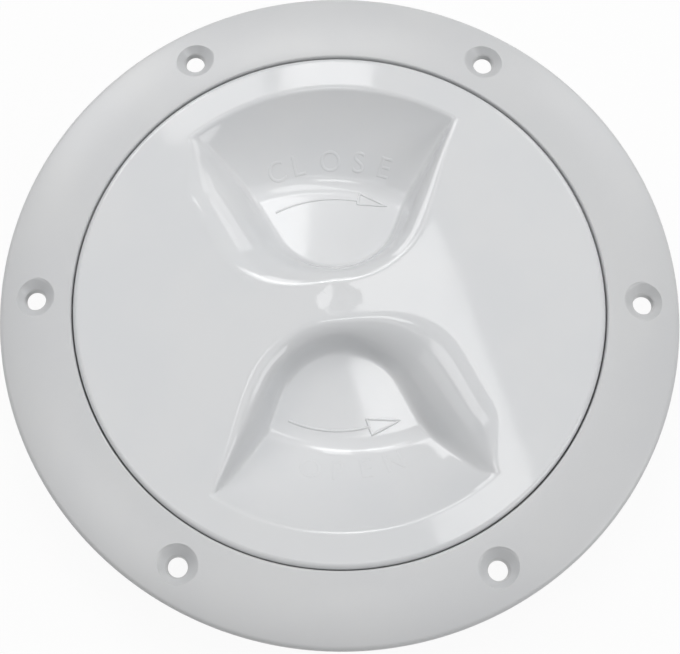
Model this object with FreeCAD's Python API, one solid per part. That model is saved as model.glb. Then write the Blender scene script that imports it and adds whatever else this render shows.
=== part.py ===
import FreeCAD, Part
import math
import os

# Deck inspection plate: a ring screwed to the deck and a cover that screws down into it.
# The origin is the plate's centre on the deck plane, +Z points out of the deck,
# and the first screw hole lies on +X. All sizes are in millimetres.

# Flange of the ring
flange_width = 18.35          # from the seam to the outer edge
flange_top = 4.5              # highest part of the crowned flange, level with the cover
flange_edge_height = 2.3      # the crown has fallen to this height at the outer edge
flange_edge_roll = 1.6
crown_start_margin = 2.0      # flat land between the seam and the start of the crown
inner_edge_roll = 0.5

# Screw holes
screw_edge = 9.0              # from the middle of a hole to the flange's outer edge
screw_count = 6
screw_hole_radius = 2.65
screw_head_radius = 4.75
screw_head_angle = 90.0

# Underside of the flange
core_depth = 1.1
core_outer_land = 2.6         # width of the land left along the outer edge
core_inner_land = 2.0         # width of the land left beside the neck
boss_wall = 3.4               # material left around each screw hole
ribs_per_bay = 2
rib_width = 1.4

# Neck of the ring
neck_depth = 22.0             # below the deck plane
upper_neck_wall = 2.8
lower_neck_wall = 3.0
shoulder_thickness = 3.0
neck_lead_in = 1.0

# Lid
lid_lip = 1.8                 # the lid reaches this far beyond the seal
lid_thickness = 3.0
lid_edge_roll = 1.5
seam_gap = 0.85               # between the lid's edge and the ring

# Skirt of the cover, whose radius sets the size of the whole plate
skirt_radius = 59.5
skirt_wall = 2.6
skirt_length = 15.5           # below the lid's rim
skirt_lead_in = 1.0
thread_room = 2.0             # radial space that the two threads share

# Seal, held by a collar on the cover just above its thread
seal_section = 3.5
seal_gap = 0.2                # above and below the seal, and round the collar
collar_gap = 0.4              # between the collar and the neck's bore
collar_length = 4.6           # below the lid's rim

# Finger pockets
pocket_count = 2
pocket_turn = 4.6             # turn of the pockets from the Y axis, in degrees
pocket_wall = 2.5
rim_land = 8.5                # flat land left between a pocket and the lid's edge
ramp_run = 22.8               # from the pocket's rim in to the crease
crease_depth = 13.0           # of the crease where floor and ramp meet, below the lid's top
crease_fillet = 8.0
ramp_hollow = 0.9             # how far the ramp sags below a straight line
floor_fall = 10.0             # the floor falls outward to the crease, in degrees
floor_bank = 3.0              # and sideways to the steep wall
floor_fillet = 2.0
floor_fillet_at_rim = 0.3

# Walls of a pocket at the lid's top: place beside the centre, lean from the axis, draft
gentle_side = 7.9
gentle_lean = 29.0
gentle_draft = 24.0
steep_side = 9.6
steep_lean = 27.5
steep_draft = 18.0
end_side = 8.0
end_draft = 20.0

# Rounded brows where the walls meet the lid, from the rim along the gentle wall and round the end
gentle_rim_brow = 2.5
gentle_brow_run = 24.3        # from the rim in to where the gentle brow is at its fullest
gentle_brow = 17.0
shoulder_brow = 19.0
end_brow = 5.5
steep_brow = 6.0
steep_rim_brow = 1.2
least_brow = 0.3

# Sizes that follow from the ones above
neck_bore_radius = skirt_radius + thread_room
collar_radius = neck_bore_radius - collar_gap
lid_radius = collar_radius + seal_section + 2 * seal_gap + lid_lip
seat_radius = lid_radius + seam_gap
flange_radius = seat_radius + flange_width
screw_circle_radius = flange_radius - screw_edge
pocket_rim_radius = lid_radius - rim_land
crease_radius = pocket_rim_radius - ramp_run
rim_underside = flange_top - lid_thickness
shoulder_level = rim_underside - seal_section - 2 * seal_gap
collar_end = rim_underside - collar_length
upper_neck_radius = seat_radius + upper_neck_wall
lower_neck_radius = neck_bore_radius + lower_neck_wall
shoulder_underside = shoulder_level - shoulder_thickness
skirt_end = rim_underside - skirt_length
crease_level = flange_top - crease_depth

up = FreeCAD.Vector(0, 0, 1)
centre = FreeCAD.Vector(0, 0, 0)


def at(radius, height):
    """A point of a section, in the plane through +X and +Z."""
    return FreeCAD.Vector(radius, 0, height)


def line(start, end):
    return Part.LineSegment(start, end).toShape()


def revolved(edges):
    """A full turn about Z of the closed section that the edges make."""
    face = Part.Face(Part.Wire(edges))
    return face.revolve(centre, up, 360)


def closed_section(points):
    return [line(a, b) for a, b in zip(points, points[1:] + points[:1])]


def around(shape, count, first=0.0):
    """Copies of a shape, evenly spaced about Z."""
    copies = []
    for step in range(count):
        copy = shape.copy()
        copy.rotate(centre, up, first + step * 360.0 / count)
        copies.append(copy)
    return copies


def circular_edges(shape, radius, height):
    """The full circles about Z of this radius at this height."""
    found = []
    for edge in shape.Edges:
        curve = edge.Curve
        if not isinstance(curve, Part.Circle):
            continue
        middle = curve.Center
        on_axis = math.hypot(middle.x, middle.y) < 0.01
        if on_axis and abs(curve.Radius - radius) < 0.01 and abs(middle.z - height) < 0.01:
            found.append(edge)
    return found


def crown_height(radius):
    """Height of the flange's crowned top, a shallow arc from its land to the outer edge."""
    start = seat_radius + crown_start_margin
    drop = flange_top - flange_edge_height
    reach = flange_radius - start
    crown_radius = (reach * reach + drop * drop) / (2 * drop)
    run = max(0.0, radius - start)
    return flange_top - crown_radius + math.sqrt(crown_radius ** 2 - run ** 2)


def ring_body():
    """Flange, seat for the lid, shoulder for the seal, and neck, as one revolved section."""
    crown_start = seat_radius + crown_start_margin
    crown_middle = (crown_start + flange_radius) / 2
    crown = Part.Arc(
        at(crown_start, flange_top),
        at(crown_middle, crown_height(crown_middle)),
        at(flange_radius, flange_edge_height),
    ).toShape()
    points = [
        at(flange_radius, flange_edge_height),
        at(flange_radius, 0),
        at(upper_neck_radius, 0),
        at(upper_neck_radius, shoulder_underside),
        at(lower_neck_radius, shoulder_underside),
        at(lower_neck_radius, -neck_depth + neck_lead_in),
        at(lower_neck_radius - neck_lead_in, -neck_depth),
        at(neck_bore_radius, -neck_depth),
        at(neck_bore_radius, shoulder_level),
        at(seat_radius, shoulder_level),
        at(seat_radius, flange_top),
        at(crown_start, flange_top),
    ]
    edges = [crown] + [line(a, b) for a, b in zip(points, points[1:])]
    body = revolved(edges)
    body = body.makeFillet(
        flange_edge_roll, circular_edges(body, flange_radius, flange_edge_height)
    )
    return body.makeFillet(inner_edge_roll, circular_edges(body, seat_radius, flange_top))


def flange_core():
    """The shallow hollow under the flange, crossed by ribs and by a boss at each screw."""
    outer = flange_radius - core_outer_land
    inner = upper_neck_radius + core_inner_land
    core = Part.makeCylinder(outer, core_depth)
    core = core.cut(Part.makeCylinder(inner, core_depth))
    boss = Part.makeCylinder(
        screw_hole_radius + boss_wall, core_depth, FreeCAD.Vector(screw_circle_radius, 0, 0)
    )
    rib = Part.makeBox(
        outer, rib_width, core_depth, FreeCAD.Vector(0, -rib_width / 2, 0)
    )
    bay = 360.0 / screw_count
    kept = around(boss, screw_count)
    for number in range(ribs_per_bay):
        kept += around(rib, screw_count, bay * (number + 1) / (ribs_per_bay + 1))
    return core.cut(kept)


def screw_hole():
    """One countersunk hole, from under the flange to above its crown."""
    rim = crown_height(screw_circle_radius)
    slope = math.tan(math.radians(screw_head_angle / 2))
    cone_depth = (screw_head_radius - screw_hole_radius) / slope
    above = flange_top - rim + 1.0
    mouth = screw_head_radius + above * slope
    foot = FreeCAD.Vector(screw_circle_radius, 0, -1.0)
    shank = Part.makeCylinder(screw_hole_radius, rim + 1.0, foot)
    cone_foot = FreeCAD.Vector(screw_circle_radius, 0, rim - cone_depth)
    cone = Part.makeCone(screw_hole_radius, mouth, cone_depth + above, cone_foot)
    return shank.fuse(cone)


def make_mounting_ring():
    body = ring_body()
    return body.cut([flange_core()] + around(screw_hole(), screw_count))


def pocket_outline(depth, outward):
    """Closed outline of a pocket this far below the lid's top, moved outward by a wall.

    The pocket runs along +Y. Two straight sides lean apart, and an arc touches both at the end.
    """
    lean_a = math.radians(gentle_lean)
    lean_b = math.radians(steep_lean)
    shift_a = outward - depth * math.tan(math.radians(gentle_draft))
    shift_b = outward - depth * math.tan(math.radians(steep_draft))
    side_a = gentle_side + shift_a / math.cos(lean_a)
    side_b = steep_side + shift_b / math.cos(lean_b)
    end = end_side - outward + depth * math.tan(math.radians(end_draft))
    opening = math.tan(lean_a) + math.tan(lean_b)
    squeeze = 1 / math.cos(lean_a) + 1 / math.cos(lean_b) - opening
    radius = (side_a + side_b + end * opening) / squeeze
    forward = end + radius
    across = radius / math.cos(lean_a) - side_a - forward * math.tan(lean_a)
    height = flange_top - depth
    touch_a = FreeCAD.Vector(
        across - radius * math.cos(lean_a), forward - radius * math.sin(lean_a), height
    )
    touch_b = FreeCAD.Vector(
        across + radius * math.cos(lean_b), forward - radius * math.sin(lean_b), height
    )
    middle = FreeCAD.Vector(across, end, height)
    turn_a = (math.pi / 2 - lean_a) / 2
    turn_b = (math.pi / 2 - lean_b) / 2
    half_a = FreeCAD.Vector(
        across - radius * math.sin(turn_a), forward - radius * math.cos(turn_a), height
    )
    half_b = FreeCAD.Vector(
        across + radius * math.sin(turn_b), forward - radius * math.cos(turn_b), height
    )
    far_a = FreeCAD.Vector(-side_a - lid_radius * math.tan(lean_a), lid_radius, height)
    far_b = FreeCAD.Vector(side_b + lid_radius * math.tan(lean_b), lid_radius, height)
    full = pocket_rim_radius - gentle_brow_run
    full_a = FreeCAD.Vector(-side_a - full * math.tan(lean_a), full, height)
    return Part.Wire([
        line(far_a, full_a),
        line(full_a, touch_a),
        Part.Arc(touch_a, half_a, middle).toShape(),
        Part.Arc(middle, half_b, touch_b).toShape(),
        line(touch_b, far_b),
        line(far_b, far_a),
    ])


def pocket_prism(outward):
    """The space between a pocket's drafted walls, open ended beyond its ramp."""
    foot = pocket_outline(crease_depth + 4 * pocket_wall, outward)
    return Part.makeLoft([foot, pocket_outline(0.0, outward)], True, True)


def ramp_region(outward):
    """Everything above the pocket's floor and ramp, with the crease between them filleted."""
    crease = at(crease_radius, crease_level - outward)
    rim = at(pocket_rim_radius + outward, flange_top)
    chord = rim - crease
    down = FreeCAD.Vector(chord.z, 0, -chord.x).normalize()
    slope = Part.Arc(crease, (crease + rim) * 0.5 + down * ramp_hollow, rim).toShape()
    turn = slope.LastParameter - slope.FirstParameter
    ramp = slope.Curve.toShape(slope.FirstParameter - turn / 2, slope.LastParameter)
    foot = ramp.valueAt(ramp.FirstParameter)
    section = [
        line(at(0, flange_top), at(0, foot.z)),
        line(at(0, foot.z), foot),
        ramp,
        line(rim, at(0, flange_top)),
    ]
    hollow = Part.Face(Part.Wire(section)).revolve(centre, up, 180)
    side = 4 * lid_radius
    floor = Part.makeBox(side, side, side, FreeCAD.Vector(-side / 2, -side / 2, -side))
    floor.rotate(centre, FreeCAD.Vector(1, 0, 0), -floor_fall)
    floor.rotate(centre, FreeCAD.Vector(0, 1, 0), floor_bank)
    floor.translate(FreeCAD.Vector(0, crease.x, crease.z))
    region = hollow.cut(floor)
    creases = [edge for edge in region.Edges if isinstance(edge.Curve, Part.BSplineCurve)]
    return region.makeFillet(crease_fillet, creases)


def with_fillets(shape, roundings):
    """The shape with fillets that change along each edge: number, start and end radius."""
    study = FreeCAD.newDocument("study")
    sharp = study.addObject("Part::Feature", "sharp")
    sharp.Shape = shape
    rounded = study.addObject("Part::Fillet", "rounded")
    rounded.Base = sharp
    rounded.Edges = roundings
    study.recompute()
    result = rounded.Shape.copy()
    FreeCAD.closeDocument(study.Name)
    return result


def edge_ends(edge):
    return [edge.valueAt(edge.FirstParameter), edge.valueAt(edge.LastParameter)]


def edge_middle(edge):
    return edge.valueAt((edge.FirstParameter + edge.LastParameter) / 2)


def beyond_rim(point):
    return math.hypot(point.x, point.y) > pocket_rim_radius + 0.5


def brow_at(point, corners, outward):
    """The brow's radius at one end of a top edge, less the wall on the underside."""
    if beyond_rim(point):
        brow = gentle_rim_brow if point.x < 0 else steep_rim_brow
    else:
        brows = [gentle_brow, shoulder_brow, end_brow, steep_brow]
        nearest = min(zip(corners, brows), key=lambda pair: pair[0].distanceToPoint(point))
        brow = nearest[1]
    return max(brow - outward, least_brow)


def flared_prism(depth, outward):
    """The space between a pocket's walls with its brows rounded, up to this depth in the lid."""
    outline = pocket_outline(depth, outward)
    corners = [vertex.Point for vertex in outline.OrderedVertexes[1:5]]
    height = crease_depth + 2 * pocket_wall
    level = flange_top - depth
    block = Part.makeCylinder(
        pocket_rim_radius + 1.0, height, FreeCAD.Vector(0, 0, level - height)
    )
    plate = block.cut(pocket_prism(outward))
    brows = []
    for number, edge in enumerate(plate.Edges, 1):
        points = edge_ends(edge) + [edge_middle(edge)]
        flat = all(abs(point.z - level) < 0.001 for point in points)
        if flat and not beyond_rim(points[2]):
            brows.append((number,) + tuple(brow_at(p, corners, outward) for p in points[:2]))
    return block.cut(with_fillets(plate, brows))


def touches(shape, point):
    """True where the point lies on the skin of the shape."""
    return shape.Shells[0].distToShape(Part.Vertex(point))[0] < 0.001


def pocket_cavity():
    """The hollow of one pocket, with a fillet where its walls meet its floor and ramp."""
    space = flared_prism(0.0, 0.0)
    region = ramp_region(0.0)
    cavity = space.common(region)
    fillets = []
    for number, edge in enumerate(cavity.Edges, 1):
        middle = edge_middle(edge)
        if middle.z > flange_top - 1.5 * floor_fillet_at_rim:
            continue
        if touches(space, middle) and touches(region, middle):
            radii = [
                floor_fillet_at_rim if flange_top - end.z < 0.5 * floor_fillet else floor_fillet
                for end in edge_ends(edge)
            ]
            fillets.append((number,) + tuple(radii))
    return with_fillets(cavity, fillets)


def pocket_bowl():
    """The wall that hangs below the lid around one pocket, before the pocket is hollowed."""
    bowl = flared_prism(lid_thickness, pocket_wall).common(ramp_region(pocket_wall))
    height = crease_depth + 3 * pocket_wall
    room = Part.makeCylinder(
        skirt_radius, height, FreeCAD.Vector(0, 0, rim_underside - height)
    )
    return bowl.common(room)


def cover_skirt():
    """The tube that carries the cover's thread, from the seal's collar to a lead-in below."""
    inner = skirt_radius - skirt_wall
    step = collar_radius - skirt_radius
    section = closed_section([
        at(inner, skirt_end),
        at(skirt_radius - skirt_lead_in, skirt_end),
        at(skirt_radius, skirt_end + skirt_lead_in),
        at(skirt_radius, collar_end - step),
        at(collar_radius, collar_end),
        at(collar_radius, rim_underside),
        at(inner, rim_underside),
    ])
    return revolved(section)


def make_screw_cover():
    lid = Part.makeCylinder(lid_radius, lid_thickness, FreeCAD.Vector(0, 0, rim_underside))
    lid = lid.makeFillet(lid_edge_roll, circular_edges(lid, lid_radius, flange_top))
    bowls = around(pocket_bowl(), pocket_count, pocket_turn)
    solid = lid.fuse([cover_skirt()] + bowls)
    return solid.cut(around(pocket_cavity(), pocket_count, pocket_turn)).removeSplitter()


def make_o_ring():
    """The seal, round the cover's collar between the lid's rim and the ring's shoulder."""
    middle = collar_radius + seal_gap + seal_section / 2
    level = (rim_underside + shoulder_level) / 2
    return Part.makeTorus(middle, seal_section / 2, FreeCAD.Vector(0, 0, level))


def save(name, shape):
    shape.exportStep("parts/" + name + ".step")
    print(name, "solids", len(shape.Solids), "valid", shape.isValid(),
          "volume", round(shape.Volume))


os.makedirs("parts", exist_ok=True)
save("mounting_ring", make_mounting_ring())
save("screw_cover", make_screw_cover())
save("o_ring", make_o_ring())
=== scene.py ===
import math

import bpy
import numpy as np
from mathutils import Matrix, Quaternion, Vector


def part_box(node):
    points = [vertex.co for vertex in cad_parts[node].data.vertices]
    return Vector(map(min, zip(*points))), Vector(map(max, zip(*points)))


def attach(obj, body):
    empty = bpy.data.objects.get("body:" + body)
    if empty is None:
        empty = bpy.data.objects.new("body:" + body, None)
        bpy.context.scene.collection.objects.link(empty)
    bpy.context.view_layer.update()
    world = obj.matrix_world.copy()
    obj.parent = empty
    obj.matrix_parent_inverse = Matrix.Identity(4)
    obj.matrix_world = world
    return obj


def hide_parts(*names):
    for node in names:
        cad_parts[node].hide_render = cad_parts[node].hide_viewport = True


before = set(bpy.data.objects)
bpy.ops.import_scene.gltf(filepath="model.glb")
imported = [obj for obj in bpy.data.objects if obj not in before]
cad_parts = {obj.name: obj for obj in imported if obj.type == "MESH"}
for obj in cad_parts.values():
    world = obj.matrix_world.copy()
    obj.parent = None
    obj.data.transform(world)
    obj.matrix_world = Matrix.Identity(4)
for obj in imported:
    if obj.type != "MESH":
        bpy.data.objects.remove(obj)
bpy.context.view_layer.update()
print("frame loaded:", sorted(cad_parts))

mm = 0.001                                   # every size below is in millimetres unless it says otherwise
ringLow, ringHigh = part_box("mounting_ring")
coverLow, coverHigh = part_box("screw_cover")
flangeRadius = ringHigh.x / mm
neckEnd = ringLow.z / mm
lidTop = coverHigh.z / mm
skirtEnd = coverLow.z / mm
proudEdge = 0.35                             # the moulded lid is this much wider than its nominal size
lidRadius = coverHigh.x / mm + proudEdge
startSize = 0.01                             # metres, of a primitive whose points are then placed
mergeGap = 1e-6                              # metres


def pickOnly(obj):                           # the only object that is selected and active
    bpy.ops.object.select_all(action="DESELECT")
    obj.select_set(True)
    bpy.context.view_layer.objects.active = obj


def softened(corners, steps=4):              # rounds each corner of an open section: (radius, height, rounding)
    points = []
    for index, (radius, height, rounding) in enumerate(corners):
        corner = Vector((radius, height))
        if rounding == 0 or index in (0, len(corners) - 1):
            points.append(corner)
            continue
        before = (Vector(corners[index - 1][:2]) - corner).normalized()
        after = (Vector(corners[index + 1][:2]) - corner).normalized()
        opening = before.angle(after)
        reach = rounding / math.tan(opening / 2)
        middle = corner + (before + after).normalized() * rounding / math.sin(opening / 2)
        start = (corner + before * reach) - middle
        end = (corner + after * reach) - middle
        for step in range(steps + 1):
            share = step / steps
            turn = math.pi - opening
            blend = (start * math.sin((1 - share) * turn) + end * math.sin(share * turn)) / math.sin(turn)
            points.append(middle + blend)
    return points


def spinSection(name, section, steps, closed):     # a section turned all the way about Z
    bpy.ops.object.select_all(action="DESELECT")
    bpy.ops.mesh.primitive_circle_add(vertices=len(section), radius=startSize)
    obj = bpy.context.object
    obj.name = name
    obj.data.name = name
    for vert, point in zip(obj.data.vertices, section):
        vert.co = (point[0] * mm, 0, point[1] * mm)
    if not closed:
        ends = {0, len(section) - 1}
        for edge in obj.data.edges:
            edge.select = set(edge.vertices) == ends
        for vert in obj.data.vertices:
            vert.select = vert.index in ends
    bpy.ops.object.mode_set(mode="EDIT")
    if not closed:
        bpy.ops.mesh.select_mode(type="EDGE")
        bpy.ops.mesh.delete(type="EDGE")
    bpy.ops.mesh.select_all(action="SELECT")
    bpy.ops.mesh.spin(steps=steps, angle=math.tau, center=(0, 0, 0), axis=(0, 0, 1))
    bpy.ops.mesh.select_all(action="SELECT")
    bpy.ops.mesh.remove_doubles(threshold=mergeGap)
    bpy.ops.mesh.delete_loose(use_verts=True, use_edges=True, use_faces=False)
    bpy.ops.mesh.select_all(action="SELECT")
    bpy.ops.mesh.normals_make_consistent(inside=False)
    bpy.ops.object.mode_set(mode="OBJECT")
    return obj


def smoothShade(obj, degrees):
    pickOnly(obj)
    bpy.ops.object.shade_smooth_by_angle(angle=math.radians(degrees), keep_sharp_edges=False)


def copied(obj, turn):                       # a copy with its own mesh, turned about Z
    twin = obj.copy()
    twin.data = obj.data.copy()
    bpy.context.scene.collection.objects.link(twin)
    twin.data.transform(Matrix.Rotation(math.radians(turn), 4, "Z"))
    return twin


def joined(objs, name):
    bpy.ops.object.select_all(action="DESELECT")
    for obj in objs:
        obj.select_set(True)
    bpy.context.view_layer.objects.active = objs[0]
    bpy.ops.object.join()
    objs[0].name = name
    return objs[0]


def combined(obj, tool, operation):          # UNION adds the tool to a piece, DIFFERENCE cuts it away
    pickOnly(obj)
    step = obj.modifiers.new("step", "BOOLEAN")
    step.operation = operation
    step.solver = "EXACT"
    step.object = tool
    bpy.ops.object.modifier_apply(modifier=step.name)
    bpy.data.objects.remove(tool)


def coordinates(obj):                        # every vertex of a mesh as rows of x, y, z in millimetres
    flat = np.empty(len(obj.data.vertices) * 3)
    obj.data.vertices.foreach_get("co", flat)
    return flat.reshape(-1, 3) / mm


def putCoordinates(obj, rows):
    obj.data.vertices.foreach_set("co", (rows * mm).ravel())
    obj.data.update()


# One thread is shared by the cover and the ring: each has half of it.
thread = dict(
    pitch=5.0, start=-11.9, baseHalf=1.15, crestHalf=0.4, crestRoll=0.25, steps=80, fade=50.0, fadeLeast=0.03, sunk=0.4,
    coverCrest=60.9, coverTurns=1.1, neckCrest=60.1, neckFrom=60.0, neckTurns=1.4,
)


def threadRidge(name, root, crest, firstAngle, turns, firstHeight):     # a ridge that climbs as a right-hand screw
    t = thread
    outward = 1 if crest > root else -1
    foot = root - outward * t["sunk"]
    shoulder = crest - outward * t["crestRoll"]
    edge = t["crestHalf"] + t["crestRoll"]
    section = [(foot, -t["baseHalf"]), (shoulder, -edge), (crest, -t["crestHalf"]),
               (crest, t["crestHalf"]), (shoulder, edge), (foot, t["baseHalf"])]
    bpy.ops.object.select_all(action="DESELECT")
    bpy.ops.mesh.primitive_circle_add(vertices=len(section), radius=startSize)
    ridge = bpy.context.object
    ridge.name = name
    for vert, point in zip(ridge.data.vertices, section):
        vert.co = (point[0] * mm, 0, (point[1] + firstHeight) * mm)
    steps = round(t["steps"] * turns)
    wind = ridge.modifiers.new("wind", "SCREW")
    wind.angle = math.tau * turns
    wind.screw_offset = t["pitch"] * turns * mm
    wind.steps = wind.render_steps = steps
    wind.use_merge_vertices = False
    bpy.ops.object.modifier_apply(modifier=wind.name)
    rows = coordinates(ridge)
    along = np.arange(len(rows)) // len(section) / (len(rows) // len(section) - 1) * 360 * turns
    share = np.clip(np.minimum(along, 360 * turns - along) / t["fade"], t["fadeLeast"], 1)
    share = share * share * (3 - 2 * share)
    radius = np.hypot(rows[:, 0], rows[:, 1])
    rows[:, :2] *= ((foot + (radius - foot) * share) / radius)[:, None]
    putCoordinates(ridge, rows)
    bpy.ops.object.mode_set(mode="EDIT")
    bpy.ops.mesh.select_all(action="SELECT")
    bpy.ops.mesh.fill_holes(sides=0)
    bpy.ops.mesh.select_all(action="SELECT")
    bpy.ops.mesh.normals_make_consistent(inside=False)
    bpy.ops.object.mode_set(mode="OBJECT")
    ridge.data.transform(Matrix.Rotation(math.radians(firstAngle), 4, "Z"))
    return ridge


# The pockets: how deep the cover is pressed at any place. All angles are in degrees.
pocket = dict(
    turn=4.6, rimRadius=58.3, creaseRadius=35.5, creaseDepth=13.0, creaseSoft=1.7, rampHollow=0.9,
    floorFall=10.0, floorBank=3.0, footSoft=2.4, rimSoft=0.7, waistSoft=0.5,
    gentleSide=7.9, gentleLean=29.0, gentleDraft=24.0,
    steepSide=9.6, steepLean=27.5, steepDraft=18.0, endSide=8.0, endDraft=20.0,
    gentleRimBrow=2.5, gentleBrowAt=34.0, gentleBrow=17.0, shoulderBrow=19.0, endBrow=5.5, steepBrow=6.0,
    steepRimBrow=1.2, gentleRimShare=0.83, steepRimShare=0.81, leastBrow=0.3, leastSlack=0.05,
    deepest=40.0, halvings=26, rampReach=12.0, farDown=-60.0, bendShare=0.98, footFade=3.0, wall=2.5,
)


def softMax(a, b, soft):                     # the larger of two heights, rounded where they meet
    near = np.clip(1 - np.abs(a - b) / np.maximum(soft, 1e-6), 0, 1)
    return np.maximum(a, b) + soft * near * near / 4


def easeBetween(value, stops, levels):       # passes through each level with no kink
    result = np.full_like(value, levels[0])
    for low, high, start, end in zip(stops, stops[1:], levels, levels[1:]):
        share = np.clip((value - low) / (high - low), 0, 1)
        result = np.where(value > low, start + (end - start) * share * share * (3 - 2 * share), result)
    return result


def wallHeight(x, y, top, outward, browLess):    # the walls of one pocket and their rounded brows
    p = pocket
    leanA, leanB = math.radians(p["gentleLean"]), math.radians(p["steepLean"])
    slackA = math.tan(math.radians(p["gentleDraft"]))
    slackB = math.tan(math.radians(p["steepDraft"]))
    slackEnd = math.tan(math.radians(p["endDraft"]))
    opening = math.tan(leanA) + math.tan(leanB)
    squeeze = 1 / math.cos(leanA) + 1 / math.cos(leanB) - opening

    def outline(depth):                      # sides, radius and middle of the rounded end at this depth
        sideA = p["gentleSide"] + (outward - depth * slackA) / math.cos(leanA)
        sideB = p["steepSide"] + (outward - depth * slackB) / math.cos(leanB)
        end = p["endSide"] - outward + depth * slackEnd
        radius = (sideA + sideB + end * opening) / squeeze
        forward = end + radius
        across = radius / math.cos(leanA) - sideA - forward * math.tan(leanA)
        return sideA, sideB, radius, across, forward

    def inside(depth):                       # distance in from the outline at this depth
        sideA, sideB, radius, across, forward = outline(depth)
        fromA = (x + sideA + y * math.tan(leanA)) * math.cos(leanA)
        fromB = (sideB + y * math.tan(leanB) - x) * math.cos(leanB)
        dx, dy = x - across, y - forward
        alongA = -dx * math.sin(leanA) + dy * math.cos(leanA)
        alongB = dx * math.sin(leanB) + dy * math.cos(leanB)
        roundEnd = (alongA <= 0) & (alongB <= 0)
        straight = np.where(alongA <= 0, fromB, np.where(alongB <= 0, fromA, np.minimum(fromA, fromB)))
        return np.where(roundEnd, radius - np.hypot(dx, dy), straight), fromA < fromB, roundEnd, dx, dy

    start = lidTop - top                     # depth of this surface's own flat
    distance, nearA, roundEnd, dx, dy = inside(start)
    low, high = np.full_like(x, start), np.full_like(x, start + p["deepest"])
    for halving in range(p["halvings"]):
        middle = (low + high) / 2
        still = inside(middle)[0] > 0
        low, high = np.where(still, middle, low), np.where(still, high, middle)
    _, _, radiusNow, acrossNow, forwardNow = outline(start)
    _, _, radiusNext, acrossNext, forwardNext = outline(start + 1)
    reach = np.maximum(np.hypot(dx, dy), 1e-6)
    shift = (dx * (acrossNext - acrossNow) + dy * (forwardNext - forwardNow)) / reach
    slackRound = -((radiusNext - radiusNow) + shift)
    slack = np.where(roundEnd, slackRound, np.where(nearA, slackA, slackB))
    slope = math.pi / 2 - np.arctan(np.maximum(slack, p["leastSlack"]))

    touchA = Vector((acrossNow - radiusNow * math.cos(leanA), forwardNow - radiusNow * math.sin(leanA)))
    touchB = Vector((acrossNow + radiusNow * math.cos(leanB), forwardNow - radiusNow * math.sin(leanB)))
    rimA = p["rimRadius"] * p["gentleRimShare"]      # how far out along the pocket each wall meets the rim
    rimB = p["rimRadius"] * p["steepRimShare"]
    footA = (y - touchA.y) * math.cos(leanA) - (x - touchA.x) * math.sin(leanA)
    footB = (y - touchB.y) * math.cos(leanB) + (x - touchB.x) * math.sin(leanB)
    stopsA = [0, (p["gentleBrowAt"] - touchA.y) / math.cos(leanA), (rimA - touchA.y) / math.cos(leanA)]
    stopsB = [0, (rimB - touchB.y) / math.cos(leanB)]
    browA = easeBetween(footA, stopsA, [p["shoulderBrow"], p["gentleBrow"], p["gentleRimBrow"]])
    browB = easeBetween(footB, stopsB, [p["steepBrow"], p["steepRimBrow"]])
    bearing = np.arctan2(dx, -dy)            # round the end, from the gentle side's touch to the steep side's
    browEnd = easeBetween(bearing, [leanA - math.pi / 2, 0, math.pi / 2 - leanB],
                          [p["shoulderBrow"], p["endBrow"], p["steepBrow"]])
    brow = np.where(roundEnd, browEnd, np.where(nearA, browA, browB)) - browLess
    brow = np.maximum(brow, p["leastBrow"])
    lead = brow * np.tan(slope / 2)
    past = np.clip(distance + lead, 0, brow * np.sin(slope))
    rolled = top - brow + np.sqrt(np.maximum(brow * brow - past * past, 0))
    return np.where(distance + lead > brow * np.sin(slope), lidTop - low, rolled)


def floorHeight(x, y, outward):              # the banked floor and the hollow ramp beyond the crease
    p = pocket
    crease = Vector((p["creaseRadius"], lidTop - p["creaseDepth"] - outward))
    rim = Vector((p["rimRadius"] + outward, lidTop))
    chord = rim - crease
    half = chord.length / 2
    sag = p["rampHollow"]
    bend = (half * half + sag * sag) / (2 * sag)
    upward = Vector((-chord.y, chord.x)).normalized()
    middle = (crease + rim) / 2 + upward * (bend - sag)
    radius = np.hypot(x, y)
    run = np.clip(radius - middle.x, -bend * p["bendShare"], bend * p["bendShare"])
    ramp = middle.y - np.sqrt(bend * bend - run * run)
    ramp = np.where(radius < p["creaseRadius"] - p["rampReach"], p["farDown"], ramp)
    bank = math.tan(math.radians(p["floorBank"]))
    fall = math.tan(math.radians(p["floorFall"])) / math.cos(math.radians(p["floorBank"]))
    floor = crease.y - bank * x - fall * (y - crease.x)
    return softMax(floor, ramp, p["creaseSoft"])


def pocketHeight(x, y, top, outward, browLess):
    walls = wallHeight(x, y, top, outward, browLess)
    bottom = floorHeight(x, y, outward)
    bottom = -softMax(-bottom, np.full_like(x, -top), pocket["rimSoft"])
    share = np.clip((top - np.maximum(walls, bottom)) / pocket["footFade"], 0, 1)
    return softMax(walls, bottom, pocket["footSoft"] * share)


def pressedHeight(x, y, top=lidTop, outward=0.0, browLess=0.0):     # both pockets in the lid
    angle = math.radians(pocket["turn"])
    result = []
    for flip in (1, -1):
        c, s = math.cos(angle) * flip, math.sin(angle) * flip
        result.append(pocketHeight(x * c + y * s, y * c - x * s, top, outward, browLess))
    soft = pocket["waistSoft"] * np.clip(top - np.maximum(*result), 0, 1)
    return -softMax(-result[0], -result[1], soft)


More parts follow.
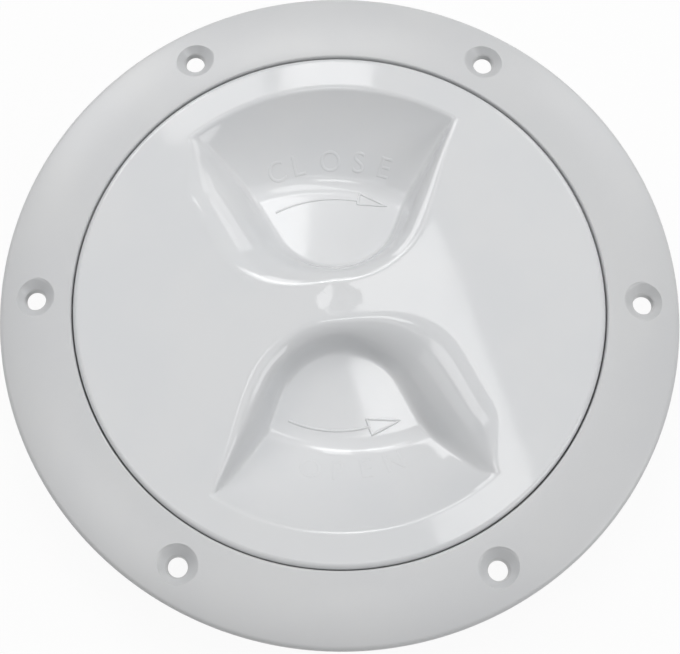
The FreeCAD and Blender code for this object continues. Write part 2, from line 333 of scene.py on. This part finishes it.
# Cover: lid, seal collar and skirt are spun from one section, then the pockets are pressed in.
cover = dict(
    lidThickness=3.0, edgeRoll=1.4, collarRadius=61.1, collarEnd=-3.1, skirtRadius=59.5, skirtWall=2.6,
    leadIn=1.0, steps=180, lipRound=0.25, edgeRound=0.3, tipRound=0.2, rootRound=0.6, smooth=32,
    rimRings=(-1.6, -0.8, -0.35, 0, 0.35, 0.9, 2.0), middleRing=1.2, innerRings=32, outerRings=4, ringGap=1.6,
    outerGap=1.4, underRings=26, topLimit=1.6, underLimit=0.8, shapedCuts=3, underCuts=1, zoneReach=2.2,
    flatGap=0.01, pressedLeast=0.002,
    gateDimple=4.6, gateDepth=0.34, gateStub=1.5, gateStubHeight=0.22, gateStubFade=0.14, gateLean=0.3,
)


def lidRings():                              # radii of the rings across the flat of the lid
    c = cover
    near = [pocket["rimRadius"] + step for step in c["rimRings"]]
    inner = list(np.linspace(c["middleRing"], near[0] - c["ringGap"], c["innerRings"]))
    outer = list(np.linspace(near[-1] + c["outerGap"], lidRadius - c["edgeRoll"] - c["flatGap"], c["outerRings"]))
    return inner + near + outer


def coverSection():
    c = cover
    under = lidTop - c["lidThickness"]
    inner = c["skirtRadius"] - c["skirtWall"]
    step = c["collarRadius"] - c["skirtRadius"]
    edge = softened([
        (lidRadius - c["edgeRoll"] - 1.0, lidTop, 0), (lidRadius, lidTop, c["edgeRoll"]),
        (lidRadius, under, c["lipRound"]), (c["collarRadius"], under, c["edgeRound"]),
        (c["collarRadius"], c["collarEnd"], c["edgeRound"]),
        (c["skirtRadius"], c["collarEnd"] - step, c["edgeRound"]),
        (c["skirtRadius"], skirtEnd + c["leadIn"], c["edgeRound"]),
        (c["skirtRadius"] - c["leadIn"], skirtEnd, c["tipRound"]), (inner, skirtEnd, c["edgeRound"]),
        (inner, under, c["rootRound"]), (inner - 2 * c["rootRound"], under, 0),
    ])
    topRow = [Vector((0, lidTop))] + [Vector((radius, lidTop)) for radius in lidRings()]
    underRadii = np.linspace(inner - 2.6, 1.5, c["underRings"])
    underRow = [Vector((radius, under)) for radius in underRadii] + [Vector((0, under))]
    return topRow + edge[1:] + underRow


def pressIn(obj, top, outward, browLess, limit, cuts, upward):      # presses both pockets into one flat of the cover
    reach = cover["zoneReach"]
    centres = np.array([face.center[:] for face in obj.data.polygons]) / mm
    flat = np.abs(centres[:, 2] - top) < cover["flatGap"]
    flat &= np.hypot(centres[:, 0], centres[:, 1]) < limit
    flat &= np.array([face.normal.z for face in obj.data.polygons]) * upward > 0.9
    x, y = centres[:, 0], centres[:, 1]
    pressed = np.zeros(len(x), bool)
    for dx, dy in ((0, 0), (reach, 0), (-reach, 0), (0, reach), (0, -reach)):
        pressed |= pressedHeight(x + dx, y + dy, top, outward, browLess) < top - cover["pressedLeast"]
    chosen = flat & pressed
    pickOnly(obj)
    bpy.ops.object.mode_set(mode="EDIT")
    bpy.ops.mesh.select_mode(type="FACE")
    bpy.ops.mesh.select_all(action="DESELECT")
    bpy.ops.object.mode_set(mode="OBJECT")
    obj.data.polygons.foreach_set("select", chosen)
    bpy.ops.object.mode_set(mode="EDIT")
    bpy.ops.mesh.subdivide(number_cuts=cuts)
    bpy.ops.object.mode_set(mode="OBJECT")
    rows = coordinates(obj)
    movable = (np.abs(rows[:, 2] - top) < cover["flatGap"]) & (np.hypot(rows[:, 0], rows[:, 1]) < limit)
    rows[movable, 2] = pressedHeight(rows[movable, 0], rows[movable, 1], top, outward, browLess)
    return rows, movable


def gateMark(x, y):                          # the shallow dimple and the snapped-off stub at the middle
    c = cover
    radius = np.hypot(x, y)
    dimple = -c["gateDepth"] * np.clip(1 - (radius / c["gateDimple"]) ** 2, 0, 1) ** 2
    broken = 1 + c["gateLean"] * (x - 0.6 * y)
    stub = c["gateStubHeight"] * broken / (1 + np.exp((radius - c["gateStub"]) / c["gateStubFade"]))
    return dimple + stub


screwCover = spinSection("screwCover", coverSection(), cover["steps"], closed=False)
coverThread = threadRidge("coverThread", cover["skirtRadius"], thread["coverCrest"], 0.0, thread["coverTurns"],
                          thread["start"])
combined(screwCover, coverThread, "UNION")
underside = lidTop - cover["lidThickness"]
underLimit = cover["skirtRadius"] - cover["skirtWall"] - cover["underLimit"]
rows, movable = pressIn(screwCover, underside, pocket["wall"], pocket["wall"], underLimit, cover["underCuts"], -1)
putCoordinates(screwCover, rows)
rows, movable = pressIn(screwCover, lidTop, 0.0, 0.0, lidRadius - cover["topLimit"], cover["shapedCuts"], 1)
rows[movable, 2] += gateMark(rows[movable, 0], rows[movable, 1])
putCoordinates(screwCover, rows)
smoothShade(screwCover, cover["smooth"])
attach(screwCover, "cover")
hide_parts("screw_cover")
print("cover:", len(screwCover.data.polygons), "faces")


# Ring: flange, seat, shoulder and neck are spun from one section, then the screw holes and the core are cut.
ring = dict(
    seatRadius=67.45, crownStart=69.65, edgeHeight=2.3, edgeRoll=1.6, innerRoll=0.5, upperNeck=70.45, lowerNeck=64.5,
    neckBore=61.5, shoulder=-2.4, shoulderUnder=-5.4, leadIn=1.0, steps=240, crownSteps=14, edgeReach=3.0,
    tipRound=0.2, edgeRound=0.3, boreRound=0.4, neckRound=0.5, smooth=30,
    holes=6, holeCircle=77.0, holeRadius=2.65, holeFoot=2.4, headRadius=5.0, headDepth=2.4, rimRoll=0.3,
    plugSteps=48, plugBelow=0.5, plugAbove=1.5,
    coreDepth=1.1, coreOuter=83.4, coreInner=72.45, coreBelow=1, bossRadius=6.05, ribWidth=1.4, ribsPerBay=2,
    keptHalf=2,
)


def crownHeight(radius):
    reach = flangeRadius - ring["crownStart"]
    drop = lidTop - ring["edgeHeight"]
    bend = (reach * reach + drop * drop) / (2 * drop)
    run = max(0.0, radius - ring["crownStart"])
    return lidTop - bend + math.sqrt(bend * bend - run * run)


def ringSection():
    r = ring
    edgeStart = flangeRadius - r["edgeReach"]
    corners = [
        (edgeStart, crownHeight(edgeStart), 0), (flangeRadius, crownHeight(flangeRadius), r["edgeRoll"]),
        (flangeRadius, 0, r["tipRound"]), (r["upperNeck"], 0, r["boreRound"]),
        (r["upperNeck"], r["shoulderUnder"], r["neckRound"]), (r["lowerNeck"], r["shoulderUnder"], r["neckRound"]),
        (r["lowerNeck"], neckEnd + r["leadIn"], r["edgeRound"]),
        (r["lowerNeck"] - r["leadIn"], neckEnd, r["tipRound"]), (r["neckBore"], neckEnd, r["boreRound"]),
        (r["neckBore"], r["shoulder"], r["boreRound"]), (r["seatRadius"], r["shoulder"], r["edgeRound"]),
        (r["seatRadius"], lidTop, r["innerRoll"]), (r["crownStart"], lidTop, 0),
    ]
    radii = np.linspace(r["crownStart"] + 0.6, edgeStart - 0.8, r["crownSteps"])
    return softened(corners, 6) + [Vector((radius, crownHeight(radius))) for radius in radii]


def holeCutter():                            # one countersink, as a turned plug
    r = ring
    rim = crownHeight(r["holeCircle"])
    roll = r["rimRoll"]
    head = r["headRadius"]
    profile = [
        (0, -r["plugBelow"]), (r["holeFoot"], -r["plugBelow"]), (r["holeFoot"], 0),
        (r["holeRadius"], rim - r["headDepth"]), (head - roll, rim - roll), (head + 0.1 * roll, rim - 0.25 * roll),
        (head + roll, rim), (head + roll, rim + r["plugAbove"]), (0, rim + r["plugAbove"]),
    ]
    plug = spinSection("plug", profile, r["plugSteps"], closed=False)
    plug.data.transform(Matrix.Translation((r["holeCircle"] * mm, 0, 0)))
    return plug


def coreCutter():                            # the shallow hollow under the flange, less its bosses and ribs
    r = ring
    below, half, wide = -r["coreBelow"], r["keptHalf"], r["bossRadius"]
    hollow = [(r["coreInner"], below), (r["coreOuter"], below), (r["coreOuter"], r["coreDepth"]),
              (r["coreInner"], r["coreDepth"])]
    core = spinSection("core", hollow, r["steps"], closed=True)
    boss = spinSection("boss", [(0, -half), (wide, -half), (wide, half), (0, half)], r["plugSteps"], closed=False)
    boss.data.transform(Matrix.Translation((r["holeCircle"] * mm, 0, 0)))
    bpy.ops.object.select_all(action="DESELECT")
    bpy.ops.mesh.primitive_cube_add(size=1)
    rib = bpy.context.object
    length = flangeRadius - r["neckBore"]
    rib.data.transform(Matrix.Translation(((r["neckBore"] + length / 2) * mm, 0, 0))
                       @ Matrix.Diagonal((length * mm, r["ribWidth"] * mm, 2 * half * mm, 1)))
    bay = 360 / r["holes"]
    kept = [copied(boss, bay * turn) for turn in range(1, r["holes"])]
    for number in range(1, r["ribsPerBay"] + 1):
        kept += [copied(rib, bay * (turn + number / (r["ribsPerBay"] + 1))) for turn in range(r["holes"])]
    bpy.data.objects.remove(rib)
    combined(core, joined([boss] + kept, "keptMaterial"), "DIFFERENCE")
    return core


deckRing = spinSection("deckRing", ringSection(), ring["steps"], closed=True)
bay = 360 / ring["holes"]
plug = holeCutter()
plugs = joined([plug] + [copied(plug, bay * turn) for turn in range(1, ring["holes"])], "plugs")
combined(deckRing, plugs, "DIFFERENCE")
combined(deckRing, coreCutter(), "DIFFERENCE")
neckTurn = thread["neckFrom"]
neckHeight = thread["start"] - thread["pitch"] * (0.5 - neckTurn / 360)
neckThread = threadRidge("neckThread", ring["neckBore"], thread["neckCrest"], neckTurn, thread["neckTurns"], neckHeight)
combined(deckRing, neckThread, "UNION")
smoothShade(deckRing, ring["smooth"])
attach(deckRing, "ring")
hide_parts("mounting_ring")
print("ring:", len(deckRing.data.polygons), "faces")


# Seal: a round rubber cord moulded as a ring, with the fine flash where its two mould halves met
seal = dict(section=3.5, flash=0.05, flashHalf=0.14, around=40, steps=220, smooth=40)
sealLow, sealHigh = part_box("o_ring")


def sealSection():
    half = seal["section"] / 2
    middleRadius = sealHigh.x / mm - half
    middleHeight = (sealHigh.z + sealLow.z) / 2 / mm
    points = []
    for step in range(seal["around"]):
        angle = math.tau * step / seal["around"]
        across, up = math.cos(angle), math.sin(angle)
        flash = seal["flash"] * math.exp(-(up * half / seal["flashHalf"]) ** 2)
        reach = half - seal["flash"] + flash
        points.append((middleRadius + across * reach, middleHeight + up * reach))
    return points


sealRing = spinSection("sealRing", sealSection(), seal["steps"], closed=True)
smoothShade(sealRing, seal["smooth"])
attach(sealRing, "seal")
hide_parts("o_ring")
print("seal:", len(sealRing.data.polygons), "faces")


# Words and arrows stand a little proud of the pockets' ramps and floors.
marks = dict(
    relief=0.11, sunk=0.35, capHeight=5.3, capShare=0.73, wordRadius=41.75, cutEvery=1.0, cutReach=4.0,
    softEdge=0.09, strokeGain=0.02, wordSmooth=50, arrowSmooth=60,
    closeAt=(-23.2, -14.7, -2.9, 7.6, 17.3), openAt=(9.4, -0.3, -10.0, -19.8), closeLift=1.0, openLift=0.6,
    arrowWidth=0.66, arrowRelief=0.24, arrowSteps=24, arrowGap=0.8,
    closeShaft=(31.8, -31.1, 10.2), openShaft=(31.3, -23.4, 15.3),       # radius, first and last angle
    closeHead=[(5.9, 33.5), (12.9, 29.9), (5.2, 30.3)], openHead=[(7.3, -28.3), (15.9, -28.6), (8.8, -32.3)],
)


def draped(obj, lift):                       # lays a flat piece on the pressed cover
    rows = coordinates(obj)
    rows[:, 2] = pressedHeight(rows[:, 0], rows[:, 1]) + rows[:, 2] * lift
    putCoordinates(obj, rows)


def letter(symbol):                          # one letter, centred, with soft edges
    m = marks
    bpy.ops.object.select_all(action="DESELECT")
    bpy.ops.object.text_add()
    obj = bpy.context.object
    obj.data.body = symbol
    obj.data.align_x = "CENTER"
    obj.data.size = m["capHeight"] / m["capShare"] * mm
    obj.data.resolution_u = 6
    obj.data.offset = (m["strokeGain"] - m["softEdge"]) * mm
    obj.data.extrude = (m["relief"] + m["sunk"]) / 2 * mm - m["softEdge"] * mm
    obj.data.bevel_depth = m["softEdge"] * mm
    obj.data.bevel_resolution = 2
    bpy.ops.object.convert(target="MESH")
    obj = bpy.context.object
    rows = coordinates(obj)
    low, high = rows.min(0), rows.max(0)
    rows[:, :2] -= (low[:2] + high[:2]) / 2
    rows[:, 2] += m["relief"] - high[2]
    putCoordinates(obj, rows)
    pickOnly(obj)
    bpy.ops.object.mode_set(mode="EDIT")
    for axis in (0, 1):
        normal = (1, 0, 0) if axis == 0 else (0, 1, 0)
        for cut in np.arange(-m["cutReach"], m["cutReach"] + 0.01, m["cutEvery"]):
            bpy.ops.mesh.select_all(action="SELECT")
            bpy.ops.mesh.bisect(plane_co=tuple(cut * mm * part for part in normal), plane_no=normal)
    bpy.ops.mesh.select_all(action="SELECT")
    bpy.ops.mesh.remove_doubles(threshold=mergeGap)
    bpy.ops.mesh.select_all(action="SELECT")
    bpy.ops.mesh.normals_make_consistent(inside=False)
    bpy.ops.object.mode_set(mode="OBJECT")
    return obj


def word(name, letters, angles, side, lift):     # letters round the centre; side is 1 at the back and -1 at the front
    objs = []
    for symbol, angle in zip(letters, angles):
        obj = letter(symbol)
        turn = Matrix.Rotation(math.radians(-angle), 4, "Z")
        obj.data.transform(turn @ Matrix.Translation((0, side * marks["wordRadius"] * mm, 0)))
        objs.append(obj)
    obj = joined(objs, name)
    draped(obj, lift)
    smoothShade(obj, marks["wordSmooth"])
    return obj


def arc(radius, start, end, side):           # points round the centre; angles are clockwise from the side's axis
    steps = marks["arrowSteps"]
    angles = [math.radians(start + (end - start) * step / steps) for step in range(steps + 1)]
    return [(radius * math.sin(angle), side * radius * math.cos(angle)) for angle in angles]


def densified(points, gap):                  # adds points so that none are further apart than the gap
    result = [points[0]]
    for start, end in zip(points, points[1:]):
        pieces = max(1, round(math.dist(start, end) / gap))
        result += [tuple(a + (b - a) * step / pieces for a, b in zip(start, end)) for step in range(1, pieces + 1)]
    return result


def arrow(name, shaft, head):                # a raised line that ends in an outlined head
    m = marks
    bpy.ops.object.select_all(action="DESELECT")
    bpy.ops.curve.primitive_nurbs_path_add()
    obj = bpy.context.object
    curve = obj.data
    curve.splines.clear()
    for line in (shaft, head + head[:1]):
        points = densified(line, m["arrowGap"])
        spline = curve.splines.new("POLY")
        spline.points.add(len(points) - 1)
        for point, place in zip(spline.points, points):
            point.co = (place[0] * mm, place[1] * mm, 0, 1)
    curve.bevel_depth = m["arrowWidth"] / 2 * mm
    curve.bevel_resolution = 3
    curve.use_fill_caps = True
    bpy.ops.object.convert(target="MESH")
    obj = bpy.context.object
    obj.name = name
    draped(obj, m["arrowRelief"] / (m["arrowWidth"] / 2))
    smoothShade(obj, m["arrowSmooth"])
    return obj


closeWord = word("closeWord", "CLOSE", marks["closeAt"], 1, marks["closeLift"])
openWord = word("openWord", "OPEN", marks["openAt"], -1, marks["openLift"])
closeArrow = arrow("closeArrow", arc(*marks["closeShaft"], 1), marks["closeHead"])
openArrow = arrow("openArrow", arc(*marks["openShaft"], -1), marks["openHead"])
for obj in (closeWord, openWord, closeArrow, openArrow):
    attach(obj, "cover")
print("marks:", sum(len(obj.data.polygons) for obj in (closeWord, openWord, closeArrow, openArrow)), "faces")


# Finishes
class Wire:                                  # a socket of a finish; sums and products of it add Math nodes
    def __init__(self, finish, socket):
        self.finish = finish
        self.socket = socket

    def math(self, operation, *values):      # this socket is the node's first value
        return self.finish.node("ShaderNodeMath", dict(operation=operation), dict(enumerate((self, *values))))

    def other(self, name):                   # another output of the same node
        return Wire(self.finish, self.socket.node.outputs[name])

    def __add__(self, value):
        return self.math("ADD", value)

    def __sub__(self, value):
        return self.math("SUBTRACT", value)

    def __rsub__(self, value):
        return self.finish.node("ShaderNodeMath", dict(operation="SUBTRACT"), {0: value, 1: self})

    def __mul__(self, value):
        return self.math("MULTIPLY", value)

    def __truediv__(self, value):
        return self.math("DIVIDE", value)

    __radd__ = __add__
    __rmul__ = __mul__


class Finish:                                # the nodes of one material, or of the world
    def __init__(self, owner):
        self.owner = owner
        self.owner.use_nodes = True
        self.tree = self.owner.node_tree
        self.tree.nodes.clear()

    def node(self, kind, settings, sockets, output=0):
        made = self.tree.nodes.new(kind)
        for key, value in settings.items():
            setattr(made, key, value)
        for key, value in sockets.items():
            if isinstance(value, Wire):
                self.tree.links.new(value.socket, made.inputs[key])
            else:
                made.inputs[key].default_value = value
        return Wire(self, made.outputs[output]) if made.outputs else made

    def noise(self, place, size, detail=2.0, roughness=0.5):     # a random value from 0 to 1; size in millimetres
        return self.node("ShaderNodeTexNoise", {}, {
            "Vector": place, "Scale": 1 / (size * mm), "Detail": detail, "Roughness": roughness})

    def ramp(self, value, low, high, start=0.0, end=1.0):        # eases from start to end between low and high
        return self.node("ShaderNodeMapRange", dict(interpolation_type="SMOOTHSTEP"), {
            "Value": value, "From Min": low, "From Max": high, "To Min": start, "To Max": end})

    def blend(self, share, first, second):                       # one colour over another
        return self.node("ShaderNodeMix", dict(data_type="RGBA"), {0: share, 6: first, 7: second}, 2)

    def seen(self):                                              # 1 for the camera and for what gloss and glass show
        path = self.node("ShaderNodeLightPath", {}, {}, "Is Camera Ray")
        return path.math("MAXIMUM", path.other("Is Glossy Ray")).math("MAXIMUM", path.other("Is Transmission Ray"))


gloss = dict(
    tone=(0.688, 0.696, 0.706), cooler=(0.672, 0.683, 0.697), toneSize=24.0,
    roughness=0.05, smudge=0.05, smudgeSize=9.0, wave=0.012, waveSize=7.0, grain=0.0006, grainSize=0.35,
)
satin = dict(
    tone=(0.600, 0.606, 0.612), cooler=(0.585, 0.592, 0.602), toneSize=30.0,
    roughness=0.30, smudge=0.06, smudgeSize=12.0, wave=0.014, waveSize=11.0, grain=0.0022, grainSize=0.28,
)
# painted shade: a dark warm tone is painted into the screw holes' bore walls and into the seam between lid and ring,
# where roughness also rises; the turned rings round each countersink are a bump
paintedShadeAndTurning = dict(
    tone=(0.20, 0.185, 0.155), seamRadius=67.4, seamReach=0.75, seamFrom=3.6, seamTo=2.2, seamShadeShare=0.12,
    seamFade=0.2, wallReach=2.85, wallFade=0.12, wallFrom=2.35, wallTo=1.9, wallShadeShare=0.1, roughened=0.3,
    turnedReach=5.6, turnedFade=0.4, turnedGap=0.42, turnedDepth=0.0022,
)
plastic = dict(toneRange=(0.35, 0.65), smudgeRange=(0.45, 0.8), refraction=1.49)


def mouldedPlastic(name, look):
    g = paintedShadeAndTurning
    f = Finish(bpy.data.materials.new(name))
    place = f.node("ShaderNodeTexCoord", {}, {}, "Object")
    x = f.node("ShaderNodeSeparateXYZ", {}, {0: place}, "X")
    y, z = x.other("Y") / mm, x.other("Z") / mm
    x = x / mm
    radius = (x * x + y * y).math("SQRT")
    # each screw hole is folded onto the first one, so one distance serves all six
    bay = math.tau / ring["holes"]
    bearing = y.math("ARCTAN2", x)
    folded = bearing - bay * (bearing / bay).math("ROUND")
    across = radius * folded.math("COSINE") - ring["holeCircle"]
    along = radius * folded.math("SINE")
    fromHole = (across * across + along * along).math("SQRT")
    # painted shade: the base colour is darkened on the screw holes' bore walls and in the seam between lid and ring
    holeWallShade = f.ramp(fromHole, g["wallReach"], g["wallReach"] + g["wallFade"], 1, 0)
    holeWallShade = holeWallShade * f.ramp(z, g["wallTo"], g["wallFrom"], 1, 0)
    offSeam = (radius - g["seamRadius"]).math("ABSOLUTE")
    seamShade = f.ramp(offSeam, g["seamReach"], g["seamReach"] + g["seamFade"], 1, 0)
    seamShade = seamShade * f.ramp(z, g["seamTo"], g["seamFrom"], 1, 0)
    paintedShadeShare = (holeWallShade * g["wallShadeShare"]).math("MAXIMUM", seamShade * g["seamShadeShare"])
    patches = f.ramp(f.noise(place, look["toneSize"], 3.0), *plastic["toneRange"])
    tone = f.blend(patches, (*look["tone"], 1), (*look["cooler"], 1))
    color = f.blend(paintedShadeShare, tone, (*g["tone"], 1))
    smudges = f.ramp(f.noise(place, look["smudgeSize"], 4.0), *plastic["smudgeRange"])
    roughness = look["roughness"] + look["smudge"] * smudges + g["roughened"] * paintedShadeShare
    turned = f.ramp(fromHole, g["turnedReach"] - g["turnedFade"], g["turnedReach"], 1, 0)
    turned = turned * (fromHole * (math.tau / g["turnedGap"])).math("SINE") * (g["turnedDepth"] / 2)
    relief = look["wave"] * f.noise(place, look["waveSize"], 1.0)
    relief = relief + look["grain"] * f.noise(place, look["grainSize"], 2.0) + turned
    bumped = f.node("ShaderNodeBump", {}, {"Strength": 1.0, "Distance": mm, "Height": relief})
    shader = f.node("ShaderNodeBsdfPrincipled", {}, {
        "Base Color": color, "Roughness": roughness, "Normal": bumped, "IOR": plastic["refraction"]})
    f.node("ShaderNodeOutputMaterial", {}, {"Surface": shader})
    return f.owner


rubber = dict(
    tone=(0.022, 0.022, 0.023), dusty=(0.055, 0.054, 0.052), dustSize=2.6, dustRange=(0.46, 0.72),
    roughness=0.52, smudge=0.14, grain=0.004, grainSize=0.22, refraction=1.52,
)


def mouldedRubber(name, look):
    f = Finish(bpy.data.materials.new(name))
    place = f.node("ShaderNodeTexCoord", {}, {}, "Object")
    dust = f.ramp(f.noise(place, look["dustSize"], 5.0, 0.62), *look["dustRange"])
    relief = look["grain"] * f.noise(place, look["grainSize"], 3.0)
    bumped = f.node("ShaderNodeBump", {}, {"Strength": 1.0, "Distance": mm, "Height": relief})
    shader = f.node("ShaderNodeBsdfPrincipled", {}, {
        "Base Color": f.blend(dust, (*look["tone"], 1), (*look["dusty"], 1)),
        "Roughness": look["roughness"] + look["smudge"] * dust, "Normal": bumped, "IOR": look["refraction"]})
    f.node("ShaderNodeOutputMaterial", {}, {"Surface": shader})
    return f.owner


coverFinish = mouldedPlastic("coverPlastic", gloss)
ringFinish = mouldedPlastic("ringPlastic", satin)
sealFinish = mouldedRubber("sealRubber", rubber)
for finish, objs in ((coverFinish, (screwCover, closeWord, openWord, closeArrow, openArrow)), (ringFinish, (deckRing,)),
                     (sealFinish, (sealRing,))):
    for obj in objs:
        obj.data.materials.clear()
        obj.data.materials.append(finish)
print("finishes: gloss and satin plastic, rubber")


# Floor, light and camera
studio = dict(                               # sizes in metres
    floorSize=4, floorTone=(0.80, 0.80, 0.80), floorPaler=(0.82, 0.82, 0.815), roughness=0.7,
    fadeFrom=0.25, fadeTo=0.8, white=0.93, worldLevel=0.11,
)
bpy.ops.object.select_all(action="DESELECT")
bpy.ops.mesh.primitive_plane_add(size=studio["floorSize"], location=(0, 0, neckEnd * mm))
floor = bpy.context.object
floor.name = "floor"


def paleFloor():                             # white where the camera sees it lit, with the plate's shadow kept
    f = Finish(bpy.data.materials.new("paleFloor"))
    place = f.node("ShaderNodeTexCoord", {}, {}, "Object")
    tone = f.blend(f.noise(place, 40.0, 3.0), (*studio["floorTone"], 1), (*studio["floorPaler"], 1))
    matt = f.node("ShaderNodeBsdfPrincipled", {}, {"Base Color": tone, "Roughness": studio["roughness"]})
    white = f.node("ShaderNodeEmission", {}, {"Color": (1, 1, 1, 1), "Strength": 1.0})
    x = f.node("ShaderNodeSeparateXYZ", {}, {0: place}, "X")
    away = (x * x + x.other("Y") * x.other("Y")).math("SQRT")
    share = f.ramp(away, studio["fadeFrom"], studio["fadeTo"], studio["white"], 1)     # no edge is seen far off
    surface = f.node("ShaderNodeMixShader", {}, {0: f.seen() * share, 1: matt, 2: white})
    f.node("ShaderNodeOutputMaterial", {}, {"Surface": surface})
    return f.owner


floor.data.materials.append(paleFloor())

camera = dict(                               # found from the rims and holes; angles in degrees
    focal=68.64, sensor=36.0, distance=328.9, elevation=74.044, azimuth=3.459, roll=-2.909,
    lookX=-11.42, lookY=-5.98, shiftX=0.069, shiftY=-0.001,
)


def placeCamera():
    c = camera
    elevation, azimuth, roll = (math.radians(c[key]) for key in ("elevation", "azimuth", "roll"))
    level = math.cos(elevation)
    forward = Vector((-math.sin(azimuth) * level, math.cos(azimuth) * level, -math.sin(elevation)))
    right = Vector((math.cos(azimuth), math.sin(azimuth), 0))
    upward = right.cross(forward)
    rolledRight = right * math.cos(roll) + upward * math.sin(roll)
    rolledUp = upward * math.cos(roll) - right * math.sin(roll)
    place = Vector((c["lookX"], c["lookY"], 0)) * mm - forward * c["distance"] * mm
    bpy.ops.object.camera_add()
    obj = bpy.context.object
    lens = obj.data
    lens.lens, lens.sensor_width = c["focal"], c["sensor"]
    lens.shift_x, lens.shift_y = c["shiftX"], c["shiftY"]
    lens.clip_start, lens.clip_end = 0.01, 20
    pose = Matrix((rolledRight, rolledUp, -forward)).transposed().to_4x4()
    pose.translation = place
    obj.matrix_world = pose
    bpy.context.scene.camera = obj


placeCamera()


# Soft lamps round the plate: bearing from +X, elevation and own turn in degrees, distance, width and height in metres,
# brightness
lamps = dict(
    ceiling=(90, 76, 0, 1.03, 1.30, 1.30, 0.62),
    paneMiddle=(89.5, 53, 0, 1.0, 0.09, 0.33, 3.2),
    paneLeft=(103, 54, 0, 1.0, 0.11, 0.31, 1.9),
    paneBright=(94, 56, 0, 1.0, 0.22, 0.10, 3.6),
    ridgeStrip=(59, 76.2, 51, 1.0, 0.11, 0.32, 2.4),
    frontPane=(285, 81, 0, 1.0, 0.15, 0.11, 3.6),
    frontBar=(268, 70, 0, 1.0, 0.40, 0.08, 1.3),
    leftHigh=(190, 68, 0, 1.0, 0.30, 0.28, 2.0),
    leftLow=(203, 46, 0, 1.0, 0.36, 0.36, 0.8),
    rightLow=(335, 32, 0, 1.0, 0.50, 0.40, 2.7),
    rightHigh=(345, 55, 0, 1.0, 0.35, 0.30, 0.7),
    backLeft=(123, 38, 0, 1.0, 0.36, 0.40, 3.4),
    backRight=(50, 36, 0, 1.0, 0.36, 0.40, 1.7),
)


def softLight(name, bearing, elevation, turn, distance, width, height, brightness):     # it faces the plate's middle
    angle, lift = math.radians(bearing), math.radians(elevation)
    place = Vector((math.cos(angle) * math.cos(lift), math.sin(angle) * math.cos(lift), math.sin(lift))) * distance
    bpy.ops.object.light_add(type="AREA", location=place)
    lamp = bpy.context.object
    lamp.name = name
    lamp.data.shape = "RECTANGLE"
    lamp.data.size, lamp.data.size_y = width, height
    lamp.data.energy = brightness * width * height * 4
    lamp.rotation_mode = "QUATERNION"
    lamp.rotation_quaternion = place.to_track_quat("Z", "Y") @ Quaternion((0, 0, 1), math.radians(turn))


for name, values in lamps.items():
    softLight(name, *values)


def setWorld(level):                         # dim light from all round; the camera and all gloss see plain white
    world = bpy.data.worlds.new("studio")
    bpy.context.scene.world = world
    f = Finish(world)
    strength = f.node("ShaderNodeMapRange", {}, {"Value": f.seen(), "To Min": level})
    background = f.node("ShaderNodeBackground", {}, {"Color": (1, 1, 1, 1), "Strength": strength})
    f.node("ShaderNodeOutputWorld", {}, {"Surface": background})


setWorld(studio["worldLevel"])
print("floor, camera and lamps:", len(lamps), "lamps")
bpy.context.scene.view_settings.view_transform = "Standard"
